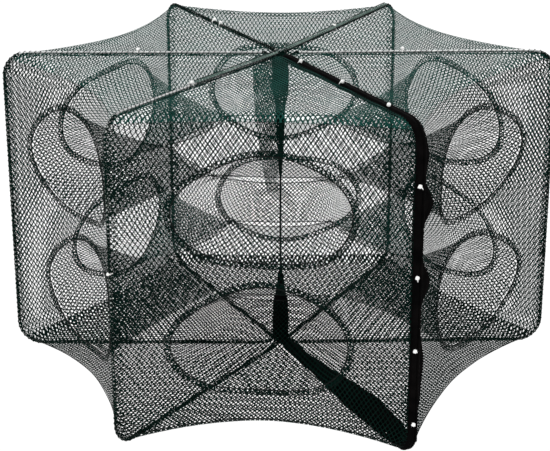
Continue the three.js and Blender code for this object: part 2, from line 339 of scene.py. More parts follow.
def tape_material(name):
    """Matt black hook-and-loop tape: a fine pile, with paler brownish patches of painted sheen."""
    nodes = Nodes(name)
    place = nodes.add("ShaderNodeTexCoord").outputs["Object"]
    pile = nodes.noise(place, 1400.0, 3.0)
    painted_sheen = nodes.noise(place, 45.0, 5.0)
    # painted sheen: in noisy patches the black pales towards brown
    tone = nodes.ramp(painted_sheen, (0.35, (0.0006, 0.0006, 0.0007)), (0.8, (0.0034, 0.0028, 0.0028)))
    nodes.put(nodes.shader.inputs["Base Color"], tone)
    nodes.bump(pile, 0.0006, 0.7)
    return nodes.finish(0.9, specular=0.025)


def steel_material(name):
    """Galvanised wire: bright zinc with cloudy patches and fine drawing marks."""
    nodes = Nodes(name)
    place = nodes.add("ShaderNodeTexCoord").outputs["Object"]
    cloud = nodes.noise(place, 130.0, 5.0)
    tone = nodes.ramp(cloud, (0.3, (0.32, 0.33, 0.33)), (0.7, (0.62, 0.63, 0.62)))
    nodes.put(nodes.shader.inputs["Base Color"], tone)
    rough = nodes.math("MULTIPLY_ADD", cloud, 0.25, 0.22)
    nodes.bump(nodes.noise(place, 2200.0, 2.0), 0.0001, 0.3)
    material = nodes.finish(0.35, metallic=0.9)
    nodes.put(nodes.shader.inputs["Roughness"], rough)
    return material


# ---------------------------------------------------------------- geometry


class Page:
    """A wire page: its number, its body, and its directions outwards and to its side."""

    def __init__(self, index):
        angle = math.radians(PAGE_ANGLES[index])
        self.number = index + 1
        self.body = f"page_{index + 1}"
        self.angle = PAGE_ANGLES[index]
        self.out = np.array([math.cos(angle), math.sin(angle), 0.0])
        self.side = np.array([-math.sin(angle), math.cos(angle), 0.0])
        self.offset = {0: CLOSURE_OFFSET, 6: -CLOSURE_OFFSET}.get(index, 0.0)

    def at(self, reach, z, aside=0.0):
        point = AXIS + self.out * reach + self.side * (self.offset + aside)
        point[2] = z
        return point

    def round_wire(self, reach, z, normal, radius, turn):
        """A point beside the wire, at an angle round it."""
        out = radius * math.cos(turn)
        return self.at(reach + out * normal[0], z + out * normal[1], radius * math.sin(turn))


class Sector:
    """The room between two neighbouring pages, and how its nets hang."""

    def __init__(self, index):
        self.number = index + 1
        self.first, self.last = pages[index], pages[index + 1]
        middle = math.radians((self.first.angle + self.last.angle) / 2)
        self.out = np.array([math.cos(middle), math.sin(middle), 0.0])
        self.joint = next(j for j in frame["joints"] if j["name"] == f"fold_{self.number}")
        self.pull_at_top, self.pull_at_floor, self.drop, self.rise = SEAMS[index]
        self.mouth_shifts = MOUTH_SHIFTS[index]
        self.thickness = THICKNESS[index]
        a, b = net_span(self, REACH, MIDDLE)
        self.half = np.linalg.norm(b - a) / 2
        self.across = (b - a) / np.linalg.norm(b - a)


def blend(a, b, t):
    return a + (b - a) * t


def side_reach(z):
    """How far a page's outer wire is from the spine at a height, its corners counted."""
    into = max(WIRE / 2 + CORNER - z, z - (HEIGHT - WIRE / 2 - CORNER), 0)
    return REACH - CORNER + math.sqrt(CORNER * CORNER - into * into)


def net_span(sector, reach, z):
    """The two ends of a net that is sewn between a sector's wires at one reach and height."""
    a, b = sector.first.at(reach, z), sector.last.at(reach, z)
    along = (b - a) / np.linalg.norm(b - a)
    taped = min(1.0, (reach - SPINE_REACH) / INNER_CORNER)
    tape_gap = blend(WIRE_GAP, TAPE_GAP, max(0.0, 2 * taped - 1))
    gap_a = tape_gap if sector.first.offset else WIRE_GAP
    gap_b = tape_gap if sector.last.offset else WIRE_GAP
    return a + along * gap_a, b - along * gap_b


def net_point(sector, reach, z, side, pull, lift):
    """A point between a sector's wires: pulled inwards and lifted most at its middle."""
    a, b = net_span(sector, reach, z)
    middle = 1 - min(1.0, abs(side)) ** SLACK
    point = blend(a, b, (side + 1) / 2) - sector.out * (pull * middle)
    point[2] += lift * middle
    return point


def ripple(point, amount, scale=14.0):
    return amount * noise.noise(Vector(point) * scale)


def wall_point(sector, side, z, proud=0.0):
    """A point of the outer wall: side runs from -1 to 1 between the wires, proud is outwards."""
    up = (z - SEAM_LOW) / (SEAM_HIGH - SEAM_LOW)
    at_seam = blend(sector.pull_at_floor, sector.pull_at_top, up)
    pull = blend(at_seam, PULL_AT_MOUTH, math.sin(math.pi * up))
    lift = sector.rise * (1 - up) ** 3 - sector.drop * up**3
    point = net_point(sector, side_reach(z), z, side, pull, lift)
    loose = 1 - min(1.0, abs(side)) ** 4
    return point + sector.out * (proud + ripple(point, RIPPLE) * loose)


def cover_path(t):
    """Reach and drop along a page's top or bottom wire, from the seam at 0 to the spine at 1."""
    arc = CORNER * math.pi / 4
    straight = REACH - CORNER - SPINE_REACH - INNER_CORNER
    inner_arc = INNER_CORNER * math.pi / 4
    s = t * (arc + straight + inner_arc)
    if s < arc:
        turn = math.pi / 4 * (1 - s / arc)
        return REACH - CORNER + CORNER * math.sin(turn), CORNER * (1 - math.cos(turn))
    if s < arc + straight:
        return REACH - CORNER - (s - arc), 0.0
    turn = (s - arc - straight) / INNER_CORNER
    reach = SPINE_REACH + INNER_CORNER * (1 - math.sin(turn))
    return reach, INNER_CORNER * (1 - math.cos(turn))


def cover_point(sector, is_top, t, side):
    """A point of a top or bottom net: t runs from the wall's seam to the spine."""
    reach, drop = cover_path(t)
    z = HEIGHT - WIRE / 2 - drop if is_top else WIRE / 2 + drop
    seam = REACH - CORNER_CUT
    inwards = (seam - reach) / (seam - SPINE_REACH - INNER_CORNER)
    pull = (sector.pull_at_top if is_top else sector.pull_at_floor) * max(0.0, 1 - inwards) ** 1.3
    edge = (-sector.drop if is_top else sector.rise) * max(0.0, 1 - inwards * 1.2)
    sag = (-NET_SAG if is_top else NET_SAG / 2) * math.sin(math.pi * min(1.0, max(0.0, inwards)))
    point = net_point(sector, reach, z, side, pull, edge + sag)
    loose = (1 - min(1.0, abs(side)) ** 4) * min(1.0, 6 * t) * min(1.0, 4 * (1 - t))
    point[2] += ripple(point, RIPPLE) * loose
    return point


def mouth_rim(sector, level, turn, wider=0.0):
    """Side and height on a mouth's oval, at an angle from its right-hand end."""
    aside, up = sector.mouth_shifts[level]
    uneven = 0.0025 * math.sin(3 * turn + 1.7 * sector.number)
    uneven += 0.0015 * math.sin(5 * turn + sector.number)
    across = aside + (MOUTH_WIDE / 2 + wider + uneven) * math.cos(turn)
    above = (MOUTH_TALL / 2 + wider + uneven) * math.sin(turn)
    return across / sector.half, MOUTH_HEIGHTS[level] + up + above


def grid_faces(rows, columns, closed=False, start=0):
    faces = []
    for i in range(rows - 1):
        for k in range(columns if closed else columns - 1):
            a, b = start + i * columns + k, start + i * columns + (k + 1) % columns
            faces.append((a, b, b + columns, a + columns))
    return faces


class Shape:
    """Collects grids and tubes that go into one mesh."""

    def __init__(self):
        self.points, self.faces, self.uvs, self.gather = [], [], [], []

    def grid(self, rows, uvs, closed=False, gather=1.0):
        columns = len(rows[0])
        self.faces += grid_faces(len(rows), columns, closed, len(self.points))
        self.points += [p for row in rows for p in row]
        self.uvs += [uv for row in uvs for uv in row]
        count = len(rows) * columns
        self.gather += [gather] * count if np.isscalar(gather) else list(gather)

    def tube(self, path, radius, sides=6, closed=False):
        """Sweeps a round cord along points; radius is one number or one for each point."""
        path = [np.array(p, float) for p in path]
        count = len(path)
        radii = [radius] * count if np.isscalar(radius) else radius
        start = len(self.points)
        normal = None
        for i, point in enumerate(path):
            before = path[i - 1] if i or closed else point
            after = path[(i + 1) % count] if i + 1 < count or closed else point
            along = after - before
            along = along / (np.linalg.norm(along) or 1)
            if normal is None:
                normal = np.cross(along, [0.31, 0.17, 0.93])
            normal = normal - along * (normal @ along)
            normal = normal / (np.linalg.norm(normal) or 1)
            other = np.cross(along, normal)
            for k in range(sides):
                turn = 2 * math.pi * k / sides
                spoke = math.cos(turn) * normal + math.sin(turn) * other
                self.points.append(point + radii[i] * spoke)
                self.uvs.append((turn * radii[i], i * 0.003))
                self.gather.append(1.0)
        rings = count + 1 if closed else count
        for i in range(rings - 1):
            a, b = start + i * sides, start + (i + 1) % count * sides
            for k in range(sides):
                j = (k + 1) % sides
                self.faces.append((a + k, a + j, b + j, b + k))
        if not closed:
            self.faces.append(tuple(start + k for k in reversed(range(sides))))
            self.faces.append(tuple(start + (count - 1) * sides + k for k in range(sides)))

    def build(self, name, material):
        mesh = bpy.data.meshes.new(name)
        mesh.from_pydata([tuple(p) for p in self.points], [], self.faces)
        layer = mesh.uv_layers.new(name="net")
        corners = np.zeros(len(mesh.loops), np.int32)
        mesh.loops.foreach_get("vertex_index", corners)
        layer.data.foreach_set("uv", np.array(self.uvs, np.float32)[corners].ravel())
        bunched = mesh.attributes.new("gather", "FLOAT", "POINT")
        bunched.data.foreach_set("value", np.array(self.gather, np.float32))
        mesh.materials.append(material)
        mesh.shade_smooth()
        piece = bpy.data.objects.new(name, mesh)
        scene.collection.objects.link(piece)
        return piece


def length_of(path):
    return sum(float(np.linalg.norm(b - a)) for a, b in zip(path, path[1:]))


def fold(piece, sector):
    """Bakes a piece's placement into its mesh and works out each point's share of the angle between
    the pages; nothing makes the piece turn with the fold.
    """
    start = sector.first.at(REACH, MIDDLE)
    end = sector.last.at(REACH, MIDDLE)
    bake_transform(piece)
    pivot = np.array(sector.joint["pos_m"][:2])
    count = len(piece.data.vertices)
    places = np.zeros(count * 3, np.float32)
    piece.data.vertices.foreach_get("co", places)
    spots = places.reshape(-1, 3)
    angles = np.degrees(np.arctan2(spots[:, 1] - pivot[1], spots[:, 0] - pivot[0]))
    turned = (angles - sector.first.angle + 180) % 360 - 180
    share = turned / (sector.last.angle - sector.first.angle)
    share = np.clip(share, 0, 1).astype(np.float32)


# ---------------------------------------------------------------- nets


def outline(level):
    """The outline of the upper or lower half of a wall, as side and height."""
    middle = (MOUTH_HEIGHTS["upper"] + MOUTH_HEIGHTS["lower"]) / 2
    low_z, high_z = (middle, SEAM_HIGH) if level == "upper" else (SEAM_LOW, middle)
    points = [(blend(-1, 1, k / ACROSS), low_z) for k in range(ACROSS)]
    points += [(1, blend(low_z, high_z, k / UP)) for k in range(UP)]
    points += [(blend(1, -1, k / ACROSS), high_z) for k in range(ACROSS)]
    points += [(-1, blend(high_z, low_z, k / UP)) for k in range(UP)]
    return points


def rim_turn(k):
    """The angle on a mouth's oval that faces point k of the outline."""
    return math.radians(-90 + 360 * (k - ACROSS / 2) / RING)


def add_wall(sector):
    shape = Shape()
    steps = (0, 0.08, 0.2, 0.34, 0.48, 0.62, 0.75, 0.87, 1)
    for level in ("lower", "upper"):
        edge = outline(level)
        rim = [mouth_rim(sector, level, rim_turn(k)) for k in range(RING)]
        spots = [
            [(blend(r[0], e[0], t), blend(r[1], e[1], t)) for r, e in zip(rim, edge)]
            for t in steps
        ]
        rows = [[wall_point(sector, *spot) for spot in row] for row in spots]
        uvs = [[(side * sector.half, z) for side, z in row] for row in spots]
        shape.grid(rows, uvs, closed=True, gather=sector.thickness)
    wall = shape.build(f"wall_netting_{sector.number}", net_tone(sector))
    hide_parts(f"wall_net_{sector.number}")
    shares = [k / 20 for k in range(21)]
    width = length_of([wall_point(sector, blend(-1, 1, t), MIDDLE) for t in shares])
    length = length_of([wall_point(sector, 0, blend(SEAM_LOW, SEAM_HIGH, t)) for t in shares])
    return wall


def add_cover(sector, is_top):
    rows, columns = 44, 40
    name = "top" if is_top else "bottom"
    ts = [i / (rows - 1) for i in range(rows)]
    sides = [blend(-1, 1, k / (columns - 1)) for k in range(columns)]
    grid = [[cover_point(sector, is_top, t, side) for side in sides] for t in ts]
    uvs = [[((p - AXIS) @ sector.across, (p - AXIS) @ sector.out) for p in row] for row in grid]
    shape = Shape()
    shape.grid(grid, uvs)
    cover = shape.build(f"{name}_netting_{sector.number}", materials[name])
    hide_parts(f"{name}_net_{sector.number}")
    return cover


def throat_point(sector, level, turn):
    """A point on the flat slit at a funnel's inner end."""
    ends = [page.at(THROAT_REACH, THROAT_HEIGHTS[level]) for page in (sector.first, sector.last)]
    along = (ends[1] - ends[0]) / np.linalg.norm(ends[1] - ends[0])
    wide = np.linalg.norm(ends[1] - ends[0]) / 2 - THROAT_GAP
    point = (ends[0] + ends[1]) / 2 + along * (math.cos(turn) * wide)
    droop = THROAT_DROOP * (1 - math.cos(turn) ** 2)
    point[2] += math.sin(turn) * THROAT_TALL / 2 - droop
    return point


def funnel_point(sector, level, turn, t):
    """A point of a funnel at an angle round it: t runs from the mouth to the throat."""
    side, z = mouth_rim(sector, level, turn)
    mouth = wall_point(sector, side, z, proud=-0.0018)
    throat = throat_point(sector, level, turn)
    point = blend(mouth, throat, t)
    point[2] = blend(mouth[2], throat[2], t + 0.06 * math.sin(math.pi * t))
    slack = math.sin(math.pi * t)
    gathers = math.sin(14 * turn + sector.number) * 0.0016 * t * t
    point[2] += gathers + ripple(point, 0.004, 11.0) * slack
    return point


def add_funnel(sector, level):
    rows, columns = 30, 97
    ts = [i / (rows - 1) for i in range(rows)]
    turns = [math.radians(-90 + 360 * k / (columns - 1)) for k in range(columns)]
    grid = [[funnel_point(sector, level, turn, t) for turn in turns] for t in ts]
    lengths = [length_of([row[k] for row in grid]) for k in (columns // 4, 0)]
    length = sum(lengths) / 2
    flat = length_of(grid[0]) * FUNNEL_CUT
    uvs = [[(flat * k / (columns - 1), length * t) for k in range(columns)] for t in ts]
    drawn = [0.88 + 0.32 * math.sin(turn) ** 2 for turn in turns]  # towards a funnel's middle
    gather = [blend(*FUNNEL_TWINES, t) * sector.thickness * share for t in ts for share in drawn]
    shape = Shape()
    shape.grid(grid, uvs, gather=gather)
    funnel = shape.build(f"{level}_funnel_netting_{sector.number}", net_tone(sector))
    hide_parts(f"{level}_funnel_{sector.number}")
    fold(funnel, sector)


def add_hem(sector, level):
    """The turned edge of net round a mouth, the cords in its edges and the cord in the throat."""
    offsets = (-0.001, 0.0, HEM / 2, HEM, HEM + 0.001)
    prouds = (0.0004, 0.0014, 0.0017, 0.0014, 0.0004)
    count = 120
    turns = [2 * math.pi * k / count for k in range(count + 1)]

    def band(turn, offset, proud):
        return wall_point(sector, *mouth_rim(sector, level, turn, offset), proud=proud)

    rows = [[band(turn, *edge) for turn in turns] for edge in zip(offsets, prouds)]
    around = length_of(rows[2])
    uvs = [[(around * k / count, offset) for k in range(count + 1)] for offset in offsets]
    shape = Shape()
    shape.grid(rows, uvs)
    hem = shape.build(f"{level}_mouth_hem_{sector.number}", materials["hem"])
    cords = Shape()
    turns = turns[:-1]
    rim = [band(turn, 0.0, 0.0014) for turn in turns]
    cords.tube(rim, [HEM_CORD * (1 + 0.3 * math.sin(k * 2.4)) for k in range(count)], closed=True)
    edges = [HEM + 0.001 * math.sin(11 * turn + sector.number) for turn in turns]
    stitched = [band(turn, edge, 0.0014) for turn, edge in zip(turns, edges)]
    cords.tube(stitched, HEM_CORD * 0.45, closed=True)
    throat = [throat_point(sector, level, turn) for turn in turns]
    cords.tube(throat, HEM_CORD * 0.8, closed=True)
    cord = cords.build(f"{level}_mouth_cords_{sector.number}", materials["cord"])
    for piece in (hem, cord):
        fold(piece, sector)


def add_margins(sector):
    """Doubled net along the wires, and the cord in each seam between a wall and a top or bottom."""
    shape = Shape()
    steps = 40
    inset = [0, 0.5, 1]
    for sign in (-1, 1):
        heights = [blend(SEAM_LOW, SEAM_HIGH, k / steps) for k in range(steps + 1)]
        rows = [
            [wall_point(sector, sign * (1 - MARGIN * f / sector.half), z, 0.0008) for z in heights]
            for f in inset
        ]
        shape.grid(rows, [[(z, MARGIN * f) for z in heights] for f in inset])
        for is_top in (True, False):
            ts = [k / steps for k in range(steps + 1)]
            rows = []
            for f in inset:
                row = []
                for t in ts:
                    reach, drop = cover_path(t)
                    a, b = net_span(sector, reach, drop)
                    half = np.linalg.norm(b - a) / 2
                    side = sign * (1 - min(0.9, MARGIN * f / half))
                    point = cover_point(sector, is_top, t, side)
                    point[2] += 0.0008 if is_top else -0.0004
                    row.append(point)
                rows.append(row)
            shape.grid(rows, [[(t * COVER_LENGTH, MARGIN * f) for t in ts] for f in inset])
    margin = shape.build(f"net_margin_{sector.number}", materials["margin"])
    cords = Shape()
    for z, radius in ((SEAM_HIGH, SEAM_CORD / 2), (SEAM_LOW, SEAM_CORD)):
        path = [wall_point(sector, blend(-1, 1, k / 40), z, proud=0.0005) for k in range(41)]
        cords.tube(path, radius)
    cord = cords.build(f"seam_cords_{sector.number}", materials["cord"])
    for piece in (margin, cord):
        fold(piece, sector)


# ---------------------------------------------------------------- pages: bindings, tapes and knots


def page_path(step=0.006):
    """A page's wire from the spine over the top, down the outside and back.

    Each point has its reach and height, its normal, and how far along the wire it is.
    """
    low_z, high_z = WIRE / 2, HEIGHT - WIRE / 2
    path = []

    def line(a, b, normal):
        count = max(2, int(math.dist(a, b) / step))
        for k in range(count):
            spot = (blend(a[0], b[0], k / count), blend(a[1], b[1], k / count))
            path.append((spot, normal))

    def arc(centre, radius, start_turn):
        count = max(4, int(radius * math.pi / 2 / step))
        for k in range(count):
            turn = math.radians(start_turn - 90 * k / count)
            normal = (math.cos(turn), math.sin(turn))
            spot = (centre[0] + radius * normal[0], centre[1] + radius * normal[1])
            path.append((spot, normal))

    inner, outer = SPINE_REACH + INNER_CORNER, REACH - CORNER
    line((SPINE_REACH, high_z - 0.060), (SPINE_REACH, high_z - INNER_CORNER), (-1, 0))
    arc((inner, high_z - INNER_CORNER), INNER_CORNER, 180)
    line((inner, high_z), (outer, high_z), (0, 1))
    arc((outer, high_z - CORNER), CORNER, 90)
    line((REACH, high_z - CORNER), (REACH, low_z + CORNER), (1, 0))
    arc((outer, low_z + CORNER), CORNER, 0)
    line((outer, low_z), (inner, low_z), (0, -1))
    arc((inner, low_z + INNER_CORNER), INNER_CORNER, -90)
    line((SPINE_REACH, low_z + INNER_CORNER), (SPINE_REACH, low_z + 0.070), (-1, 0))
    travelled = [0.0]
    for (a, _), (b, _) in zip(path, path[1:]):
        travelled.append(travelled[-1] + math.dist(a, b))
    return [(*spot, normal, far) for (spot, normal), far in zip(path, travelled)]


BARE_TOPS = (2, 5, 6)  # pages whose top wire shows between the turns of its lacing
BARE_FROM = 0.03
SLEEVE = 0.0025  # radius of the net folded round a wire
SLEEVE_TWINES = 1.15
LACE_PITCH = 0.0085
LACE_ON_WIRE = 0.0025  # radii of the lacing's turns
LACE_ON_SLEEVE = SLEEVE + 0.0004


def is_bare(page, reach, z):
    at_top = z > HEIGHT - 0.006 and BARE_FROM < reach < REACH - CORNER + 0.01
    return page.number in BARE_TOPS and at_top


def add_sleeve(page):
    """The net folded round a page's wire, left off where the wire shows."""
    shape = Shape()
    rows, uvs, sides = [], [], 10
    for reach, z, normal, travelled in page_path():
        if is_bare(page, reach, z):
            if rows:
                shape.grid(rows, uvs, gather=SLEEVE_TWINES)
            rows, uvs = [], []
            continue
        radius = SLEEVE + ripple((reach, z, page.number), 0.0004, 60.0)
        turns = [2 * math.pi * k / sides for k in range(sides + 1)]
        rows.append([page.round_wire(reach, z, normal, radius, turn) for turn in turns])
        uvs.append([(travelled, radius * turn) for turn in turns])
    shape.grid(rows, uvs, gather=SLEEVE_TWINES)
    cover = shape.build(f"wire_binding_{page.number}", materials["binding"])
    return cover


def add_lacing(page):
    """Black cord wound along a page's wire, and a straight cord under a top wire that shows."""
    shape = Shape()
    helix = []
    for reach, z, normal, travelled in page_path(0.0011):
        turn = 2 * math.pi * travelled / LACE_PITCH
        radius = LACE_ON_WIRE if is_bare(page, reach, z) else LACE_ON_SLEEVE
        helix.append(page.round_wire(reach, z, normal, radius, turn))
    shape.tube(helix, 0.0005, sides=4)
    if page.number in BARE_TOPS:
        below = []
        for k in range(61):
            reach = blend(BARE_FROM, REACH - CORNER + 0.012, k / 60)
            uneven = ripple((reach, page.number, 0), 0.0008, 40.0)
            below.append(page.at(reach, HEIGHT - 0.0062 + uneven))
        shape.tube(below, 0.0010, sides=5)
    return shape.build(f"wire_lacing_{page.number}", materials["cord"])


def add_binding(page):
    for piece in (add_sleeve(page), add_lacing(page)):
        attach(piece, page.body)


NARROWEST = 5.6  # of a closure tape, in millimetres


def tape_section(sign, wide, rise, droop, wrapped):
    """Cross-section of a closure tape beside its wire: distances aside and outwards, in metres."""
    crown = blend(-2.3, 2.9, wrapped)
    points = [
        (0.15, crown * 0.7),
        (1.4, crown),
        (3.4, crown),
        (4.7, crown * 0.6 - 0.3 * (1 - wrapped)),
        (5.3, -0.6 - 2 * (1 - wrapped)),
        (5.8, -0.8 - droop * 0.5),
        (blend(5.8, wide, 0.55), -1.0 - droop * 0.8),
        (wide, -1.0 - droop),
        (wide * 0.99, -2.3 - droop),
        (blend(5.8, wide, 0.75), -3.0 - droop - rise * 0.55),
        (4.6, -6.2 - rise * 0.9),
        (2.4, -6.3 - rise),
        (0.15, -6.0 - rise * 0.95),
    ]
    if sign < 0:
        points.reverse()
    return [(sign * aside / 1000, out / 1000) for aside, out in points]


# Where the closure bulges on its way down the front, as height, length and extra width in metres.
BULGES = (
    (0.382, 0.024, 0.0165),
    (0.268, 0.026, 0.0150),
    (0.147, 0.040, 0.0090),
    (0.090, 0.030, 0.0040),
    (0.450, 0.026, 0.0070),
)
LOW_FOLD = (0.29, 0.13)  # reach and length of the wide fold in the closure's bottom
TOP_KNOB = (0.055, 0.030)  # and of the lump in its top beside the spine
BARE_LOW = (0.12, 0.36)  # where the inner tape lies flat along the bottom


def hump(x, at, long):
    return math.exp(-(((x - at) / long) ** 2))


def tape_shape(page, sign, reach, z, travelled):
    """How wide a closure tape is and how far its folds rise at one place, in millimetres."""
    lump = noise.noise(Vector((travelled * 26, page.number * 3.1, 0)))
    swell = noise.noise(Vector((travelled * 9, 5.2, page.number)))
    spine_side = min(1.0, reach / (SPINE_REACH + INNER_CORNER))
    at_bottom = max(0.0, 1 - z / 0.04)
    at_top = max(0.0, 1 - (HEIGHT - z) / 0.04)
    upright = 1 - at_bottom - at_top
    bulge = sum(extra * hump(z, at, long) for at, long, extra in BULGES) * 1000
    low_fold = hump(reach, *LOW_FOLD)
    knob = hump(reach, *TOP_KNOB)
    if sign > 0:
        wide = upright * (NARROWEST + bulge)
        wide += at_bottom * (13.0 + 14 * low_fold)
        wide += at_top * (9.0 + 5 * knob + 1.5 * swell)
        rise = 1.2 + at_bottom * (6 + 22 * low_fold + 3 * swell)
        rise += at_top * 4.5 * knob
        rise += upright * bulge * 0.3
    else:
        wide = upright * (9.0 + 1.5 * swell)
        wide += at_bottom * (9.0 + 8 * low_fold)
        wide += at_top * 6.2
        rise = 1.0 + at_bottom * 2 + at_top * 2.5 * knob
    wide = max(NARROWEST, (wide + 0.7 * lump) * spine_side)
    return wide, rise + 1.2 * abs(lump), at_top


def add_tape(page, sector, sign):
    """One closure tape, ribbed and lumpy, wrapped round its wire."""
    rows, uvs = [], []
    for i, (reach, z, normal, travelled) in enumerate(page_path(0.0024)):
        wide, rise, at_top = tape_shape(page, sign, reach, z, travelled)
        bare = sign < 0 and z < 0.01 and BARE_LOW[0] < reach < BARE_LOW[1]
        droop = blend(3.3, 0.6, at_top)
        section = tape_section(sign, wide, rise, droop, 0.0 if bare else 1.0)
        rib = 1 + 0.045 * (-1) ** i
        row = []
        for aside, out in section:
            spread = 1.0 if abs(aside) < 0.0003 else rib
            place = page.at(
                reach + out * rib * normal[0],
                z + out * rib * normal[1],
                aside * spread - page.offset,
            )
            place[2] = min(max(place[2], 0.0002), HEIGHT + 0.004)
            row.append(place)
        rows.append(row)
        uvs.append([(travelled, 0.003 * k) for k in range(len(section))])
    shape = Shape()
    shape.grid(rows, uvs, closed=True)
    count = len(rows[0])
    shape.faces.append(tuple(reversed(range(count))))
    shape.faces.append(tuple(range(len(shape.points) - count, len(shape.points))))
    tape = shape.build(f"closure_band_{page.number}", materials["tape"])
    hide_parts(f"closure_tape_{page.number}")
    fold(tape, sector)


def lumpy_ball(shape, centre, plump):
    rows = []
    for i in range(7):
        tilt = math.pi * i / 6
        row = []
        for k in range(10):
            turn = 2 * math.pi * k / 10
            size = plump * (1 + 0.22 * math.sin(3 * turn + i) * math.sin(tilt))
            level = (math.cos(turn) * math.sin(tilt), math.sin(turn) * math.sin(tilt))
            row.append(centre + np.array([*level, math.cos(tilt)]) * size)
        rows.append(row)
    shape.grid(rows, [[(0, 0)] * 10] * 7, closed=True)


def thread_direction(rng, lowest, highest):
    """A random direction for a short thread end, which rises between two limits."""
    away = np.array([rng.uniform(-1, 1), rng.uniform(-1, 1), rng.uniform(lowest, highest)])
    return away / np.linalg.norm(away)


def add_knots(page, spots):
    """White knotted ties on a page's wire: a lumpy knot with two tails, and a loop if untaped."""
    shape = Shape()
    rng = random.Random(page.number)
    taped = page.offset != 0
    for edge, at in spots:
        outward = (1, 0) if edge == "out" else (0, 1)
        places = {"out": (REACH, at), "low": (at, WIRE / 2), "top": (at, HEIGHT - WIRE / 2)}
        reach, z = places[edge]
        plump = 0.0022 if edge == "out" and not taped else 0.0029
        stand = 0.0060 if taped else 0.0050
        aside = rng.uniform(-0.001, 0.001) - (0.0030 if taped else 0.0)
        centre = page.at(reach + stand * outward[0], z + stand * outward[1], aside)
        lumpy_ball(shape, centre, plump)
        for _ in range(2):
            away = thread_direction(rng, 0.1, 1)
            hang = [np.array([0, 0, -0.0002 * k * k]) for k in range(6)]
            path = [centre + away * 0.0010 * k + hang[k] for k in range(6)]
            shape.tube(path, [0.0007] * 5 + [0.0003], sides=5)
        if taped:
            continue
        loop = []
        for k in range(14):
            turn = 2 * math.pi * k / 14
            out, across = 0.0038 * math.cos(turn), 0.0038 * math.sin(turn)
            height = max(z + out * outward[1], 0.0008)
            loop.append(page.at(reach + out * outward[0], height, across))
        shape.tube(loop, 0.0006, sides=5, closed=True)
    knots = shape.build(f"wire_knots_{page.number}", materials["thread"])
    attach(knots, page.body)


def add_tie(page, level, white):
    """The knotted thread that ties the throats each side of a page together."""
    shape = Shape()
    rng = random.Random(page.number * 10 + len(level))
    z = THROAT_HEIGHTS[level]
    half = 0.0095 if white else 0.0045
    path, radii = [], []
    for k in range(13):
        t = k / 12 * 2 - 1
        reach = THROAT_REACH + 0.0012 * math.sin(9 * t)
        path.append(page.at(reach, z + 0.001 * math.cos(7 * t), half * t))
        radii.append(0.0008 + 0.0011 * math.exp(-(t**2) * 14))
    shape.tube(path, radii, sides=7)
    start = page.at(THROAT_REACH, z)
    for _ in range(2):
        away = thread_direction(rng, -1, 0.2)
        path = [start + away * 0.0014 * k for k in range(6)]
        shape.tube(path, [0.0006] * 5 + [0.0002], sides=5)
    tie = shape.build(f"{level}_throat_tie_{page.number}", materials["thread" if white else "cord"])
    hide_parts(f"{level}_tie_{page.number}")
    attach(tie, page.body)


# ---------------------------------------------------------------- the spine

# Each lashing's radius in millimetres at heights along the spine, from its end to its tip.
LOW_WRAP = (
    (0.003, 10.5), (0.012, 12.2), (0.03, 12.8), (0.05, 13.2), (0.075, 12.4),
    (0.086, 9.5), (0.1, 6.8), (0.118, 5.0), (0.130, 3.2), (0.137, 1.2),
)
TOP_WRAP = (
    (0.4985, 8.0), (0.49, 11.6), (0.47, 12.6), (0.45, 12.8), (0.436, 12.4), (0.424, 9.4),
    (0.41, 7.4), (0.385, 6.4), (0.35, 5.4), (0.32, 4.0), (0.30, 2.4), (0.29, 1.2),
)


def add_lashing(sector, name, profile, gather, material):
    """A sector's share of the lashing round the pages' wire ends."""
    first, last = sector.first.angle, sector.last.angle
    heights = [z for z, _ in sorted(profile)]
    radii = [r / 1000 for _, r in sorted(profile)]
    rows, uvs = [], []
    for i in range(46):
        z = blend(profile[0][0], profile[-1][0], i / 45)
        radius = float(np.interp(z, heights, radii))
        row = []
        for k in range(9):
            turn = math.radians(blend(first, last, k / 8))
            uneven = 0.06 * math.sin(z * 1500 + 3 * turn)
            lumpy = radius * (1 + uneven + 0.12 * ripple((turn, z * 3, 2), 1.0, 5.0))
            row.append(AXIS + np.array([math.cos(turn) * lumpy, math.sin(turn) * lumpy, z]))
        rows.append(row)
        uvs.append([(z, blend(first, last, k / 8) * 0.00022) for k in range(9)])
    shape = Shape()
    shape.grid(rows, uvs, gather=gather)
    wrap = shape.build(f"{name}_spine_lashing_{sector.number}", material)
    fold(wrap, sector)


def add_spine_lace(sector):
    """The cord between two pages' wire ends: inside the lashings it stands away from the axis."""
    turn = math.radians((sector.first.angle + sector.last.angle) / 2)
    shape = Shape()
    path = []
    for k in range(60):
        z = blend(0.03, 0.47, k / 59)
        drawn = 1 / (1 + math.exp(-(abs(z - 0.245) - 0.17) / 0.012))
        radius = blend(0.0012, 0.0078, drawn)
        path.append(AXIS + np.array([math.cos(turn) * radius, math.sin(turn) * radius, z]))
    shape.tube(path, 0.0006, sides=6)
    cord = shape.build(f"spine_lace_{sector.number}", materials["cord"])
    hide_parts(f"spine_cord_{sector.number}")
    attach(cord, sector.first.body)


def add_spine(sector):
    add_lashing(sector, "low", LOW_WRAP, 2.0, materials["tape"])
    add_lashing(sector, "top", TOP_WRAP, 1.25, materials["gathered"])
    add_spine_lace(sector)


CURTAIN_TOP = 0.496
CURTAIN_END = 0.268
CURTAIN_WIDE = 0.040


